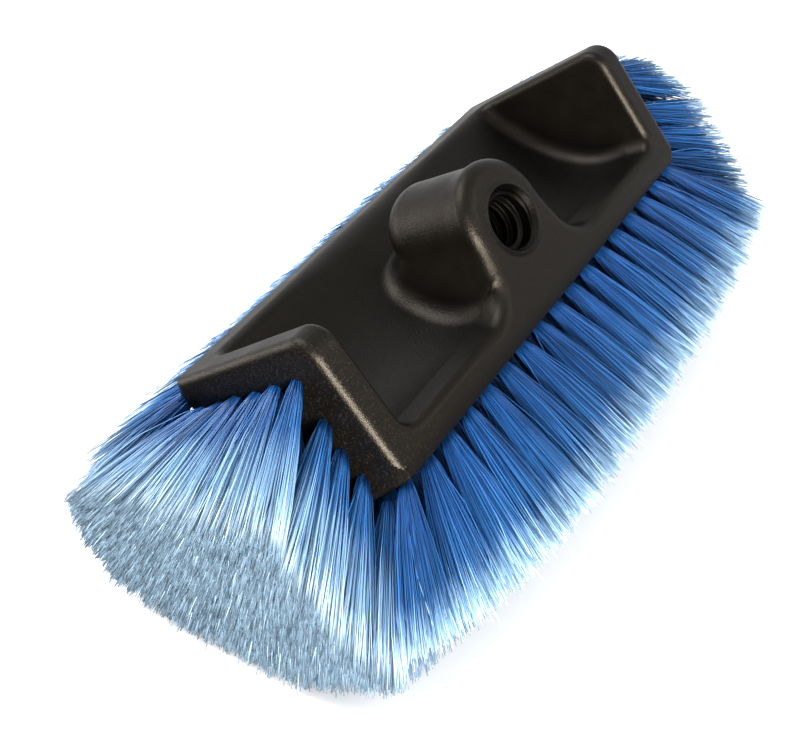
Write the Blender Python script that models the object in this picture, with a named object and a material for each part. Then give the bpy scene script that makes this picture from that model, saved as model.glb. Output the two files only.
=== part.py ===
# Five-sided car wash brush head: one moulded block with a gabled top, and the tufts set round it.
# X runs along the block, -Y is the side that the pole socket faces, +Z is up.
# The origin is on the surface that the bristle tips stand on, under the middle of the block.
import math

import bmesh
import bpy
from mathutils import Vector

# Block, outside
BLOCK_LENGTH = 0.203
FRONT_ROOF_WIDTH = 0.0545
REAR_ROOF_WIDTH = 0.079
UNDERSIDE_HEIGHT = 0.05
SKIRT_DEPTH = 0.0222
SKIRT_RUN = 0.0182
RIM_LAND = 0.002
RIDGE_RADIUS = 0.009
RIM_RADIUS = 0.002
SKIRT_RADIUS = 0.001
CORNER_RADIUS = 0.007
END_EDGE_RADIUS = 0.0035

# Hollow between the two gable walls
END_WALL = 0.012
TROUGH_OFFSET = -0.007
TROUGH_FLOOR = 0.0162
TROUGH_REAR_RADIUS = 0.069
TROUGH_FRONT_RADIUS = 0.041
TROUGH_FILLET = 0.006
CREST_RADIUS = 0.0035
REAR_BAND = 0.0148
FRONT_BAND = 0.0097
LEDGE_ANGLE = math.radians(38.5)
CREST_LIFT = math.radians(5)

# Pole socket and the boss round it
SOCKET_SET_DOWN = 0.0226
SOCKET_RADIUS = 0.0105
SOCKET_DEPTH = 0.036
SOCKET_TIP = 0.004
MOUTH_RADIUS = 0.0122
MOUTH_DEPTH = 0.0014
FLANGE_RISE = 0.0022
BARREL_RISE = 0.0068
FLANGE_RADIUS = 0.021
FLANGE_ROUND = 0.0025
WAIST_RUN = 0.013
WAIST_RADIUS = 0.0188
BARREL_RADIUS = 0.0183
BARREL_LENGTH = 0.035
NOSE_LENGTH = 0.0155
BOSS_FOOT = 0.004
BOSS_FACE_SET_BACK = 0.00005
LEG_DRAFT = math.radians(15)
LEG_EASE = 0.006
NOSE_DRAFT = math.radians(20)
FRONT_FOOT_FILLET = 0.011
BOSS_FOOT_FILLET = 0.0055

# Tufts and the slices of backing that carry them
SLICE_WIDTH = 0.005
SLICE_THICKNESS = 0.003
SLICE_END_MARGIN = 0.001
SEAT_CLEARANCE = 0.0003
TUFT_PITCH = 0.0119
SIDE_TUFTS = 16
UNDERSIDE_TUFTS = 15
UNDERSIDE_ROWS = 5
UNDERSIDE_ROW_PITCH = 0.0115
STRAND_ROOT_LENGTH = 0.0036
STRAND_ROOT_SPACING = 0.0044
SIDE_TIP_WIDTH = 0.0135
GABLE_TIP_WIDTH = 0.0165
INNER_TIP_WIDTH = 0.0145
UNDERSIDE_TIP_WIDTH = 0.0125
STRAND_TIP_SHARE = 0.46
END_TRIM = 0.043
SIDE_UPPER_INSET = 0.0065
SIDE_LOWER_INSET = 0.0165
SIDE_UPPER_TRIM = 0.052
SIDE_LOWER_TRIM = 0.058
GABLE_ROW_REAR_INSET = 0.0138
GABLE_ROW_FRONT_INSET = 0.0195
GABLE_REAR_START_SHARE = 0.2127
GABLE_REAR_PITCH_SHARE = 0.134
GABLE_FRONT_START_SHARE = 0.5
GABLE_FRONT_PITCH_SHARE = 0.16
GABLE_REAR_TUFTS = 6
GABLE_FRONT_TUFTS = 4
INNER_ROW_RISE_SHARE = 0.58
INNER_ROW_PITCH_SHARE = 0.19
INNER_ROW_OFFSET_SHARE = -0.0156
INNER_ROW_SHIFT_SHARE = 0.0344
INNER_TUFT_PITCH_SHARE = 0.1104
INNER_ROW_TUFTS = (2, 3, 5)
END_FAN_CENTRE = 0.0064

# Angles that the tufts fan out at
SIDE_UPPER_DROP = math.radians(36)
SIDE_LOWER_DROP = math.radians(55)
GABLE_DROP = math.radians(28)
INNER_ROW_DROPS = [math.radians(a) for a in (38.5, 43.5, 49)]
SIDE_YAW = math.radians(58)
END_YAW = math.radians(51)
UNDERSIDE_TILT_ALONG = math.radians(36)
UNDERSIDE_TILT_ACROSS = math.radians(22)

OVERRUN = 0.01

# Steps round curves
RIDGE_STEPS = 6
RIM_STEPS = 2
CORNER_ANGLES = [math.radians(a) for a in (0, 25, 45, 60, 72, 82, 90)]
REAR_STEPS = 8
FRONT_STEPS = 6
CREST_STEPS = 3
FILLET_STEPS = 4
SOCKET_STEPS = 32
CROWN_STEPS = 7
LEG_STEPS = 6
NOSE_STEPS = 6

# The two roof slopes meet square, and both rims are level, so the slopes give all the rest.
BLOCK_WIDTH = math.hypot(FRONT_ROOF_WIDTH, REAR_ROOF_WIDTH)
GABLE_HEIGHT = FRONT_ROOF_WIDTH * REAR_ROOF_WIDTH / BLOCK_WIDTH
RIM_HEIGHT = UNDERSIDE_HEIGHT + SKIRT_DEPTH
RIDGE_HEIGHT = RIM_HEIGHT + GABLE_HEIGHT
RIDGE_Y = FRONT_ROOF_WIDTH**2 / BLOCK_WIDTH - BLOCK_WIDTH / 2
HALF_LENGTH = BLOCK_LENGTH / 2
HALF_WIDTH = BLOCK_WIDTH / 2
FLOOR_HEIGHT = UNDERSIDE_HEIGHT + TROUGH_FLOOR

ALONG = Vector((1, 0, 0))
UP_FRONT = Vector((0, GABLE_HEIGHT / REAR_ROOF_WIDTH, GABLE_HEIGHT / FRONT_ROOF_WIDTH))
INTO_SOCKET = Vector((0, GABLE_HEIGHT / FRONT_ROOF_WIDTH, -GABLE_HEIGHT / REAR_ROOF_WIDTH))
RIDGE = Vector((0, RIDGE_Y, RIDGE_HEIGHT))
SOCKET_MOUTH = RIDGE - UP_FRONT * SOCKET_SET_DOWN


def clear_scene():
    for item in list(bpy.data.objects):
        bpy.data.objects.remove(item, do_unlink=True)


def make_material(name, colour, roughness):
    material = bpy.data.materials.new(name)
    material.use_nodes = True
    shader = material.node_tree.nodes["Principled BSDF"]
    shader.inputs["Base Color"].default_value = (*colour, 1)
    shader.inputs["Roughness"].default_value = roughness
    shader.inputs["Metallic"].default_value = 0
    return material


def make_object(name, mesh_data, material=None):
    mesh = bpy.data.meshes.new(name)
    mesh_data.to_mesh(mesh)
    mesh_data.free()
    item = bpy.data.objects.new(name, mesh)
    bpy.context.scene.collection.objects.link(item)
    if material:
        mesh.materials.append(material)
    return item


def as_cutter(item):
    item.hide_render = True
    item.display_type = "WIRE"
    return item


def add_boolean(item, other, operation):
    modifier = item.modifiers.new(other.name, "BOOLEAN")
    modifier.operation = operation
    modifier.solver = "EXACT"
    modifier.object = other


def round_corner(before, corner, after, radius, steps):
    # The corner of an outline as an arc of the radius, tangent to both of its edges.
    to_before = (before - corner).normalized()
    to_after = (after - corner).normalized()
    half = to_before.angle(to_after) / 2
    middle = corner + (to_before + to_after).normalized() * radius / math.sin(half)
    start = corner + to_before * radius / math.tan(half) - middle
    finish = corner + to_after * radius / math.tan(half) - middle
    sweep = start.angle(finish)
    points = []
    for step in range(steps + 1):
        turn = sweep * step / steps
        weight_start = math.sin(sweep - turn) / math.sin(sweep)
        weight_finish = math.sin(turn) / math.sin(sweep)
        points.append(middle + start * weight_start + finish * weight_finish)
    return points


def close_mirrored(shell, ring):
    # Closes an outline that starts at its topmost point and is the same on both sides.
    shell.faces.new((ring[0], ring[1], ring[-1]))
    for index in range(1, len(ring) // 2):
        shell.faces.new((ring[index], ring[index + 1], ring[-index - 1], ring[-index]))


def loft(name, sections, material=None):
    # Skins a row of outlines with equally many points, and closes both ends.
    shell = bmesh.new()
    rings = [[shell.verts.new(point) for point in section] for section in sections]
    for near, far in zip(rings, rings[1:]):
        for index in range(len(near)):
            following = (index + 1) % len(near)
            shell.faces.new((near[index], near[following], far[following], far[index]))
    for ring in (rings[0], rings[-1]):
        if len(ring) % 2:
            close_mirrored(shell, ring)
        else:
            shell.faces.new(ring)
    bmesh.ops.recalc_face_normals(shell, faces=shell.faces)
    return make_object(name, shell, material)


def block_section(x):
    # The gabled outline at x: the roof draws in by the end's edge radius, the sides by the corner's.
    past_edge = max(abs(x) - HALF_LENGTH + END_EDGE_RADIUS, 0)
    past_corner = max(abs(x) - HALF_LENGTH + CORNER_RADIUS, 0)
    roof_inset = END_EDGE_RADIUS - math.sqrt(max(END_EDGE_RADIUS**2 - past_edge**2, 0))
    side_inset = CORNER_RADIUS - math.sqrt(max(CORNER_RADIUS**2 - past_corner**2, 0))
    front_y = side_inset - HALF_WIDTH
    rear_y = HALF_WIDTH - side_inset
    ridge_drop = roof_inset * (REAR_ROOF_WIDTH + FRONT_ROOF_WIDTH) / BLOCK_WIDTH
    ridge_shift = roof_inset * (REAR_ROOF_WIDTH - FRONT_ROOF_WIDTH) / BLOCK_WIDTH
    ridge = Vector((x, RIDGE_Y + ridge_shift, RIDGE_HEIGHT - ridge_drop))
    front_top = ridge.z - (ridge.y - front_y) * REAR_ROOF_WIDTH / FRONT_ROOF_WIDTH
    rear_top = ridge.z - (rear_y - ridge.y) * FRONT_ROOF_WIDTH / REAR_ROOF_WIDTH
    skirt_rise = (SKIRT_DEPTH - RIM_LAND) / SKIRT_RUN
    land_bottom = RIM_HEIGHT - RIM_LAND - side_inset * skirt_rise
    under_y = HALF_WIDTH - SKIRT_RUN
    corners = [
        (Vector((x, front_y, front_top)), RIM_RADIUS, RIM_STEPS),
        (ridge, RIDGE_RADIUS - roof_inset, RIDGE_STEPS),
        (Vector((x, rear_y, rear_top)), RIM_RADIUS, RIM_STEPS),
        (Vector((x, rear_y, land_bottom)), SKIRT_RADIUS, 1),
        (Vector((x, under_y, UNDERSIDE_HEIGHT)), SKIRT_RADIUS, 1),
        (Vector((x, -under_y, UNDERSIDE_HEIGHT)), SKIRT_RADIUS, 1),
        (Vector((x, front_y, land_bottom)), SKIRT_RADIUS, 1),
    ]
    outline = []
    for index, (corner, radius, steps) in enumerate(corners):
        before = corners[index - 1][0]
        after = corners[(index + 1) % len(corners)][0]
        outline += round_corner(before, corner, after, radius, steps)
    return outline


def make_blank(material):
    xs = [HALF_LENGTH - CORNER_RADIUS + CORNER_RADIUS * math.sin(a) for a in CORNER_ANGLES]
    sections = [block_section(-x) for x in reversed(xs)] + [block_section(x) for x in xs]
    return loft("brush_block", sections, material)


def arc_point(x, radius, inset, turn):
    # A point of an arc that starts at the trough's lowest line and climbs forward or rearward.
    y = TROUGH_OFFSET + (radius - inset) * math.sin(turn)
    return Vector((x, y, FLOOR_HEIGHT + radius - (radius - inset) * math.cos(turn)))


def angle_to_crest(crest):
    # The arc's turn where it passes through the crest; the crest's line of sight gives it.
    rise = crest.z - FLOOR_HEIGHT
    run = abs(crest.y - TROUGH_OFFSET)
    return 2 * math.atan(rise / run)


def ledge_line():
    # Where the trough's front arc ends, and the way from there up to the front crest.
    start = arc_point(0, TROUGH_FRONT_RADIUS, 0, -LEDGE_ANGLE)
    crest = RIDGE - UP_FRONT * (FRONT_ROOF_WIDTH - FRONT_BAND)
    return start, (crest - start).normalized()


def trough_section(x):
    # Two arcs that share their lowest line, a ledge in front, and both crests rounded over.
    past = max(abs(x) - HALF_LENGTH + END_WALL + TROUGH_FILLET, 0)
    inset = TROUGH_FILLET - math.sqrt(max(TROUGH_FILLET**2 - past**2, 0))
    here = ALONG * x
    rear_crest = RIDGE + INTO_SOCKET * (REAR_ROOF_WIDTH - REAR_BAND)
    rear_turn = angle_to_crest(rear_crest)
    rear = [
        arc_point(x, TROUGH_REAR_RADIUS, inset, rear_turn * step / REAR_STEPS)
        for step in range(REAR_STEPS, 0, -1)
    ]
    front = [
        arc_point(x, TROUGH_FRONT_RADIUS, inset, -LEDGE_ANGLE * step / FRONT_STEPS)
        for step in range(FRONT_STEPS + 1)
    ]
    front_crest = RIDGE - UP_FRONT * (FRONT_ROOF_WIDTH - FRONT_BAND)
    rear_lip = rear[0]
    front_lip = here + front_crest + ledge_line()[1].cross(ALONG) * inset
    reach = REAR_BAND
    rear_out = rear_lip + (INTO_SOCKET + UP_FRONT * math.tan(CREST_LIFT)) * reach
    front_out = front_lip + (-UP_FRONT - INTO_SOCKET * math.tan(CREST_LIFT)) * reach
    outline = round_corner(rear_out, rear_lip, rear[1], CREST_RADIUS, CREST_STEPS)
    outline += rear[1:] + front
    outline += round_corner(front[-1], front_lip, front_out, CREST_RADIUS, CREST_STEPS)
    top = RIDGE_HEIGHT + OVERRUN
    outline += [front_out, Vector((x, front_out.y, top)), Vector((x, rear_out.y, top)), rear_out]
    return outline


def make_trough_cutter():
    inner = HALF_LENGTH - END_WALL
    turns = [step / FILLET_STEPS * math.pi / 2 for step in range(FILLET_STEPS + 1)]
    xs = [inner - TROUGH_FILLET + TROUGH_FILLET * math.sin(turn) for turn in turns]
    sections = [trough_section(-x) for x in reversed(xs)] + [trough_section(x) for x in xs]
    return as_cutter(loft("trough_cutter", sections))


def boss_radius(depth):
    # Rolled flange at the face, a slight waist, the barrel, then a rounded nose.
    if depth < FLANGE_ROUND:
        short = FLANGE_ROUND - depth
        return FLANGE_RADIUS - FLANGE_ROUND + math.sqrt(FLANGE_ROUND**2 - short**2)
    if depth < WAIST_RUN:
        share = (depth - FLANGE_ROUND) / (WAIST_RUN - FLANGE_ROUND)
        blend = (1 + math.cos(math.pi * share)) / 2
        return WAIST_RADIUS + (FLANGE_RADIUS - WAIST_RADIUS) * blend
    if depth < BARREL_LENGTH:
        share = (depth - WAIST_RUN) / (BARREL_LENGTH - WAIST_RUN)
        blend = (1 - math.cos(math.pi * share)) / 2
        return WAIST_RADIUS + (BARREL_RADIUS - WAIST_RADIUS) * blend
    share = min((depth - BARREL_LENGTH) / NOSE_LENGTH, 1)
    return BARREL_RADIUS * math.sqrt(1 - share**2)


def drop_to_trough(point, way):
    # How far the trough's floor or ledge lies from a point in a downward direction.
    for radius in (TROUGH_REAR_RADIUS, TROUGH_FRONT_RADIUS):
        centre = Vector((0, TROUGH_OFFSET, FLOOR_HEIGHT + radius))
        away = Vector((0, point.y, point.z)) - centre
        along = away.dot(way)
        drop = math.sqrt(max(along**2 - away.length_squared + radius**2, 0)) - along
        hit = point + way * drop
        if hit.y > TROUGH_OFFSET and radius == TROUGH_REAR_RADIUS:
            return drop
    start, ledge_way = ledge_line()
    if hit.y > start.y:
        return drop
    normal = ledge_way.cross(ALONG)
    return (start - point).dot(normal) / way.dot(normal)


def leg_way(depth):
    # The legs run down the front slope at the face and lean rearward under the nose.
    face_tilt = -math.atan2(UP_FRONT.y, UP_FRONT.z)
    share = min(depth / (BARREL_LENGTH + NOSE_LENGTH), 1)
    tilt = face_tilt + (NOSE_DRAFT - face_tilt) * share
    return Vector((0, math.sin(tilt), -math.cos(tilt)))


def boss_rise(depth):
    # The barrel's centre line climbs away from the socket's axis.
    share = min(depth / BARREL_LENGTH, 1)
    return FLANGE_RISE + (BARREL_RISE - FLANGE_RISE) * share


def boss_section(depth):
    # A bell: half circle above, legs below it whose draft starts gently and that flare at the trough.
    axis_point = SOCKET_MOUTH + INTO_SOCKET * (depth + BOSS_FACE_SET_BACK)
    axis_point = axis_point + UP_FRONT * boss_rise(depth)
    radius = boss_radius(depth)
    way = leg_way(depth)
    floor = max(drop_to_trough(axis_point, way), BOSS_FOOT)
    blend = min(depth / WAIST_RUN, 1)
    fillet = FRONT_FOOT_FILLET + (BOSS_FOOT_FILLET - FRONT_FOOT_FILLET) * blend
    side = []
    for step in range(CROWN_STEPS + 1):
        turn = math.pi / 2 * step / CROWN_STEPS
        side.append((radius * math.sin(turn), UP_FRONT * radius * math.cos(turn)))
    for step in range(1, LEG_STEPS + 1):
        down = floor * step / LEG_STEPS
        near_floor = max(fillet - floor + down, 0)
        flare = fillet - math.sqrt(max(fillet**2 - near_floor**2, 0))
        draft = math.tan(LEG_DRAFT) * down**2 / (down + LEG_EASE)
        side.append((radius + draft + flare, way * down))
    side.append((side[-1][0], way * (floor + BOSS_FOOT)))
    left = [axis_point - ALONG * width + offset for width, offset in side]
    right = [axis_point + ALONG * width + offset for width, offset in reversed(side[1:])]
    return left + right


def make_boss():
    depths = [0, FLANGE_ROUND * (1 - math.cos(math.pi / 6)), FLANGE_ROUND / 2, FLANGE_ROUND]
    for step in range(1, FILLET_STEPS + 1):
        depths.append(FLANGE_ROUND + (WAIST_RUN - FLANGE_ROUND) * step / FILLET_STEPS)
    for step in range(1, FILLET_STEPS):
        depths.append(WAIST_RUN + (BARREL_LENGTH - WAIST_RUN) * step / FILLET_STEPS)
    for step in range(NOSE_STEPS + 1):
        turn = math.pi / 2 * step / (NOSE_STEPS + 1)
        depths.append(BARREL_LENGTH + NOSE_LENGTH * math.sin(turn))
    return as_cutter(loft("boss", [boss_section(depth) for depth in depths]))


def make_socket_cutter():
    # The bore with its chamfered mouth and coned end, turned about the socket's axis.
    profile = [
        (0, -OVERRUN),
        (MOUTH_RADIUS, -OVERRUN),
        (MOUTH_RADIUS, 0),
        (SOCKET_RADIUS, MOUTH_DEPTH),
        (SOCKET_RADIUS, SOCKET_DEPTH),
        (0, SOCKET_DEPTH + SOCKET_TIP),
    ]
    cutter = bmesh.new()
    ring = [
        cutter.verts.new(SOCKET_MOUTH + ALONG * radius + INTO_SOCKET * depth)
        for radius, depth in profile
    ]
    edges = [cutter.edges.new(pair) for pair in zip(ring, ring[1:])]
    bmesh.ops.spin(
        cutter,
        geom=ring + edges,
        cent=SOCKET_MOUTH,
        axis=INTO_SOCKET,
        angle=math.tau,
        steps=SOCKET_STEPS,
        use_merge=True,
    )
    bmesh.ops.remove_doubles(cutter, verts=cutter.verts, dist=SEAT_CLEARANCE / 100)
    bmesh.ops.recalc_face_normals(cutter, faces=cutter.faces)
    return as_cutter(make_object("socket_cutter", cutter))


def side_row(name, side, inset, drop, trim):
    # A row under one long rim, on the slanting skirt.
    land = Vector((0, side * HALF_WIDTH, RIM_HEIGHT - RIM_LAND))
    foot = Vector((0, side * (HALF_WIDTH - SKIRT_RUN), UNDERSIDE_HEIGHT))
    middle = land + (foot - land).normalized() * inset
    normal = (foot - land).cross(ALONG * side).normalized()
    aim = Vector((0, side * math.cos(drop), -math.sin(drop)))

    def fan(root):
        share = root.x / HALF_LENGTH
        yaw = SIDE_YAW * share * abs(share)
        return aim + ALONG * math.cos(drop) * math.tan(yaw)

    reach = TUFT_PITCH * (SIDE_TUFTS - 1) / 2
    ends = (middle - ALONG * reach, middle + ALONG * reach)
    return {
        "name": name,
        "ends": ends,
        "normal": normal,
        "tufts": SIDE_TUFTS,
        "tip_width": SIDE_TIP_WIDTH,
        "fan": fan,
        "cut": lambda root: (root + fan(root).normalized() * trim, fan(root)),
    }


def end_row(name, end, ends, tufts, drop, tip_width):
    # A row on one upright end face; its tips are trimmed to an upright plane.
    aim = ALONG * end

    def fan(root):
        yaw = END_YAW * (root.y - END_FAN_CENTRE) / HALF_WIDTH
        return aim + Vector((0, math.tan(yaw), -math.tan(drop)))

    return {
        "name": name,
        "ends": ends,
        "normal": aim,
        "tufts": tufts,
        "tip_width": tip_width,
        "fan": fan,
        "cut": lambda root: (aim * (HALF_LENGTH + END_TRIM), aim),
    }


def end_rows(label, end):
    # Two rows follow the gable's slopes, and level rows fill the face under them.
    face = ALONG * end * HALF_LENGTH + RIDGE
    rear_top = face - UP_FRONT * GABLE_ROW_REAR_INSET
    rear_finish_share = GABLE_REAR_START_SHARE + GABLE_REAR_PITCH_SHARE * (GABLE_REAR_TUFTS - 1)
    rear_line = [
        rear_top + INTO_SOCKET * REAR_ROOF_WIDTH * share
        for share in (GABLE_REAR_START_SHARE, rear_finish_share)
    ]
    front_top = face + INTO_SOCKET * GABLE_ROW_FRONT_INSET
    front_finish_share = GABLE_FRONT_START_SHARE + GABLE_FRONT_PITCH_SHARE * (GABLE_FRONT_TUFTS - 1)
    front_line = [
        front_top - UP_FRONT * FRONT_ROOF_WIDTH * share
        for share in (GABLE_FRONT_START_SHARE, front_finish_share)
    ]
    rows = []
    gables = (("rear", rear_line, GABLE_REAR_TUFTS), ("front", front_line, GABLE_FRONT_TUFTS))
    for leg, line, tufts in gables:
        name = f"{label}_end_{leg}_gable_tufts"
        rows.append(end_row(name, end, line, tufts, GABLE_DROP, GABLE_TIP_WIDTH))
    for number, (tufts, drop) in enumerate(zip(INNER_ROW_TUFTS, INNER_ROW_DROPS)):
        offset = BLOCK_WIDTH * (INNER_ROW_OFFSET_SHARE + INNER_ROW_SHIFT_SHARE * number)
        rise_share = INNER_ROW_RISE_SHARE - INNER_ROW_PITCH_SHARE * number
        level = UNDERSIDE_HEIGHT + GABLE_HEIGHT * rise_share
        reach = BLOCK_WIDTH * INNER_TUFT_PITCH_SHARE * (tufts - 1) / 2
        start = Vector((face.x, offset - reach, level))
        finish = Vector((face.x, offset + reach, level))
        name = f"{label}_end_inner_{number + 1}_tufts"
        rows.append(end_row(name, end, (start, finish), tufts, drop, INNER_TIP_WIDTH))
    return rows


def underside_row(number):
    # A row on the flat underside; its tips are cut level with the surface below.
    y = UNDERSIDE_ROW_PITCH * (number - (UNDERSIDE_ROWS - 1) / 2)
    reach = TUFT_PITCH * (UNDERSIDE_TUFTS - 1) / 2
    down = Vector((0, 0, -1))
    widest = UNDERSIDE_ROW_PITCH * (UNDERSIDE_ROWS - 1) / 2

    def fan(root):
        share = root.x / reach
        lean_along = math.tan(UNDERSIDE_TILT_ALONG) * share * abs(share)
        lean_across = math.tan(UNDERSIDE_TILT_ACROSS) * y / widest
        return down + Vector((lean_along, lean_across, 0))

    return {
        "name": f"underside_row_{number + 1}_tufts",
        "ends": (Vector((-reach, y, UNDERSIDE_HEIGHT)), Vector((reach, y, UNDERSIDE_HEIGHT))),
        "normal": down,
        "tufts": UNDERSIDE_TUFTS,
        "tip_width": UNDERSIDE_TIP_WIDTH,
        "fan": fan,
        "cut": lambda root: (Vector((0, 0, 0)), down),
    }


def all_rows():
    rows = []
    for label, side in (("front", -1), ("rear", 1)):
        upper = (SIDE_UPPER_INSET, SIDE_UPPER_DROP, SIDE_UPPER_TRIM)
        lower = (SIDE_LOWER_INSET, SIDE_LOWER_DROP, SIDE_LOWER_TRIM)
        rows.append(side_row(f"{label}_side_upper_tufts", side, *upper))
        rows.append(side_row(f"{label}_side_lower_tufts", side, *lower))
    rows += end_rows("left", -1)
    rows += end_rows("right", 1)
    rows += [underside_row(number) for number in range(UNDERSIDE_ROWS)]
    return rows


def row_axes(row):
    along = (row["ends"][1] - row["ends"][0]).normalized()
    return along, row["normal"].cross(along)


def slice_half_length(row):
    span = (row["ends"][1] - row["ends"][0]).length
    return (span + STRAND_ROOT_SPACING + STRAND_ROOT_LENGTH) / 2 + SLICE_END_MARGIN


def strand_tip(row, tuft_root, source, corner, spread):
    # Where one edge of a strand meets the plane that its tuft is cut to.
    plane_point, plane_normal = row["cut"](tuft_root)
    way = row["fan"](source)
    length = (plane_point - source).dot(plane_normal) / way.dot(plane_normal)
    edge = source + way * length + spread - corner
    return corner + edge * (plane_point - corner).dot(plane_normal) / edge.dot(plane_normal)


def make_row(row, material):
    # A slice of backing whose outer face carries the strands, two to a tuft.
    along, across = row_axes(row)
    normal = row["normal"]
    middle = (row["ends"][0] + row["ends"][1]) / 2
    half = slice_half_length(row)
    span = (row["ends"][1] - row["ends"][0]).length
    pitch = span / (row["tufts"] - 1)
    places = [pitch * tuft - span / 2 for tuft in range(row["tufts"])]
    strands = []
    for place in places:
        for side in (-1, 1):
            root = place + side * STRAND_ROOT_SPACING / 2
            strands.append((root, place + side * pitch / 4, middle + along * place))
    shell = bmesh.new()

    def line(marks, side, depth=0):
        edge = middle + across * side * SLICE_WIDTH / 2 - normal * depth
        return [shell.verts.new(edge + along * mark) for mark in marks]

    marks = []
    for root, source, tuft_root in strands:
        marks += [root - STRAND_ROOT_LENGTH / 2, root + STRAND_ROOT_LENGTH / 2]
    tops = [line([-half, *marks, half], side) for side in (-1, 1)]
    bases = [line([-half, *places, half], side, SLICE_THICKNESS) for side in (-1, 1)]
    for top, base in zip(tops, bases):
        for tuft in range(len(places)):
            first = 4 * tuft + 1
            for mark in range(first, first + 3):
                shell.faces.new((top[mark], top[mark + 1], base[tuft + 1]))
        for tuft in range(len(places) + 1):
            shell.faces.new((top[4 * tuft], top[4 * tuft + 1], base[tuft + 1], base[tuft]))
    low, high = tops
    for index in range(0, len(low), 2):
        shell.faces.new((low[index], low[index + 1], high[index + 1], high[index]))
    for index in range(len(places) + 1):
        shell.faces.new(
            (bases[0][index], bases[0][index + 1], bases[1][index + 1], bases[1][index])
        )
    for end in (0, -1):
        shell.faces.new((low[end], high[end], bases[1][end], bases[0][end]))
    for number, (root, source, tuft_root) in enumerate(strands):
        first = 2 * number + 1
        foot = [low[first], low[first + 1], high[first + 1], high[first]]
        tips = []
        for vertex, a, c in zip(foot, (-1, 1, 1, -1), (-1, -1, 1, 1)):
            start = middle + along * (source + a * pitch * STRAND_TIP_SHARE / 2)
            spread = across * c * row["tip_width"] / 2
            tips.append(shell.verts.new(strand_tip(row, tuft_root, start, vertex.co, spread)))
        for index in range(4):
            following = (index + 1) % 4
            shell.faces.new((foot[index], foot[following], tips[following], tips[index]))
        shell.faces.new(tips)
    bmesh.ops.recalc_face_normals(shell, faces=shell.faces)
    return make_object(row["name"], shell, material)


def make_seat_cutter(rows):
    # Every slice's seat, wider and deeper than the slice by the seat clearance.
    seats = bmesh.new()
    for row in rows:
        along, across = row_axes(row)
        normal = row["normal"]
        middle = (row["ends"][0] + row["ends"][1]) / 2
        half = slice_half_length(row) + SEAT_CLEARANCE
        width = SLICE_WIDTH / 2 + SEAT_CLEARANCE
        depth = SLICE_THICKNESS + SEAT_CLEARANCE
        layers = []
        for level in (-depth, SLICE_THICKNESS):
            centre = middle + normal * level
            layers.append(
                [
                    seats.verts.new(centre + along * half * a + across * width * c)
                    for a, c in ((-1, -1), (1, -1), (1, 1), (-1, 1))
                ]
            )
        for index in range(4):
            following = (index + 1) % 4
            seats.faces.new(
                (layers[0][index], layers[0][following], layers[1][following], layers[1][index])
            )
        seats.faces.new(layers[0])
        seats.faces.new(layers[1])
    bmesh.ops.recalc_face_normals(seats, faces=seats.faces)
    return as_cutter(make_object("seat_cutter", seats))


def smooth_shade(item):
    item.data.shade_smooth()
    item.data.set_sharp_from_angle(angle=math.radians(35))


clear_scene()
plastic = make_material("moulded_black_plastic", (0.022, 0.02, 0.018), 0.5)
bristle = make_material("blue_bristle", (0.05, 0.22, 0.55), 0.55)
tuft_rows = all_rows()
block = make_blank(plastic)
smooth_shade(block)
add_boolean(block, make_trough_cutter(), "DIFFERENCE")
add_boolean(block, make_boss(), "UNION")
add_boolean(block, make_socket_cutter(), "DIFFERENCE")
add_boolean(block, make_seat_cutter(tuft_rows), "DIFFERENCE")
for tuft_row in tuft_rows:
    make_row(tuft_row, bristle)
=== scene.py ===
import math

import bpy
import numpy as np
from mathutils import Matrix


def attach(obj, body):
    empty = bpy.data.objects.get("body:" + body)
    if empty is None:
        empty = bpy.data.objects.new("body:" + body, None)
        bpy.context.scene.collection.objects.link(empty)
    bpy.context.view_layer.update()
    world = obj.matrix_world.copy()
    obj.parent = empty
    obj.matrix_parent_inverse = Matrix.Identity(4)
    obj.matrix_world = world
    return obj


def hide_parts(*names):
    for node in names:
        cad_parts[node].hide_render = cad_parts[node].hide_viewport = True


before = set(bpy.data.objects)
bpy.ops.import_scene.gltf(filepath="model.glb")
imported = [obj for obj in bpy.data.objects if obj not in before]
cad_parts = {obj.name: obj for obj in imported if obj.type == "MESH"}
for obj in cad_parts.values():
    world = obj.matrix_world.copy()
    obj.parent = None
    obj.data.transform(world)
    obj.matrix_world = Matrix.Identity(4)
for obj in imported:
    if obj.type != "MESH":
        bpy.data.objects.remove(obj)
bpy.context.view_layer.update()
millimetre = 0.001

# Outer form of the block, the place of its socket and the grid that meshes it, in millimetres
blockForm = {
    "halfLength": 101.5,
    "frontRoof": 54.5,
    "rearRoof": 79.0,
    "underside": 50.0,
    "rim": 72.2,
    "skirtRun": 18.2,
    "rimLand": 2.0,
    "ridgeRadius": 9.0,
    "endRadius": 3.5,
    "cornerRadius": 7.0,
    "rimRadius": 2.2,
    "skirtRadius": 1.5,
    "socketDown": 22.6,
    "gridStep": 1.05,
    "quickStep": 2.0,
    "marginLow": (1.37, 1.31, 1.23),
    "marginHigh": (1.5, 1.5, 4.0),
    "settleRounds": 4,
}
# The roof slopes meet square, so the width, the gable's height and both directions follow from them
halfLength = blockForm["halfLength"]
halfWidth = math.hypot(blockForm["frontRoof"], blockForm["rearRoof"]) / 2
gableHeight = blockForm["frontRoof"] * blockForm["rearRoof"] / (2 * halfWidth)
upFront = np.array([0, gableHeight / blockForm["rearRoof"], gableHeight / blockForm["frontRoof"]])
intoSocket = np.array([0, gableHeight / blockForm["frontRoof"], -gableHeight / blockForm["rearRoof"]])
ridgeAlong = blockForm["frontRoof"] ** 2 / (2 * halfWidth) - halfWidth
ridgePoint = np.array([0, ridgeAlong, blockForm["rim"] + gableHeight])
socketMouth = ridgePoint - upFront * blockForm["socketDown"]


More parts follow.
